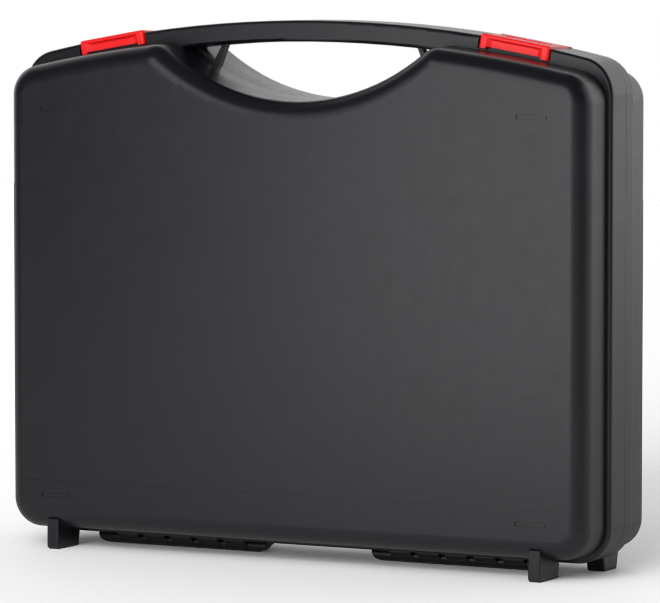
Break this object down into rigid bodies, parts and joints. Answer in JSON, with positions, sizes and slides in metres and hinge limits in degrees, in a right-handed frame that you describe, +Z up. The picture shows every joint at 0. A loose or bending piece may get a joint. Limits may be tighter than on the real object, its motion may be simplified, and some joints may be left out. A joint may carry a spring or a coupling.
{
  "type": "hard tool case",
  "caption": "Black moulded carrying case with a built-in arched handle, red flip latches, a hinged lid and a foam lining for hand tools.",
  "frame": {"origin": "on the floor under the middle of the case, which stands on its feet", "axes": "+X across the case to the right latch, +Y from the lid to the base, +Z up to the handle"},
  "size_m": [0.42, 0.093, 0.3425],
  "materials": {
    "case_plastic": "fine spark-eroded grain",
    "latch_plastic": "smooth moulded",
    "pin_steel": "drawn wire",
    "foam": "open-cell foam"
  },
  "bodies": {
    "base": {"rear_shell": "case_plastic", "left_latch_pin": "pin_steel", "right_latch_pin": "pin_steel", "left_hinge_pin": "pin_steel", "right_hinge_pin": "pin_steel", "base_pad": "foam", "tool_tray": "foam"},
    "lid": {"front_shell": "case_plastic", "lid_foam": "foam"},
    "left_latch": {"left_latch": "latch_plastic"},
    "right_latch": {"right_latch": "latch_plastic"}
  },
  "joints": [
    {"name": "lid_hinge", "type": "hinge", "parent": "base", "child": "lid", "pos_m": [0, 0, 0.0047], "axis": [1, 0, 0], "range_deg": [0, 180]},
    {"name": "left_latch_pivot", "type": "hinge", "parent": "base", "child": "left_latch", "pos_m": [-0.14377, 0.0132, 0.32669], "axis": [-0.9861, 0, -0.166], "range_deg": [0, 105]},
    {"name": "right_latch_pivot", "type": "hinge", "parent": "base", "child": "right_latch", "pos_m": [0.14377, 0.0132, 0.32669], "axis": [-0.9861, 0, 0.166], "range_deg": [0, 105]}
  ]
}
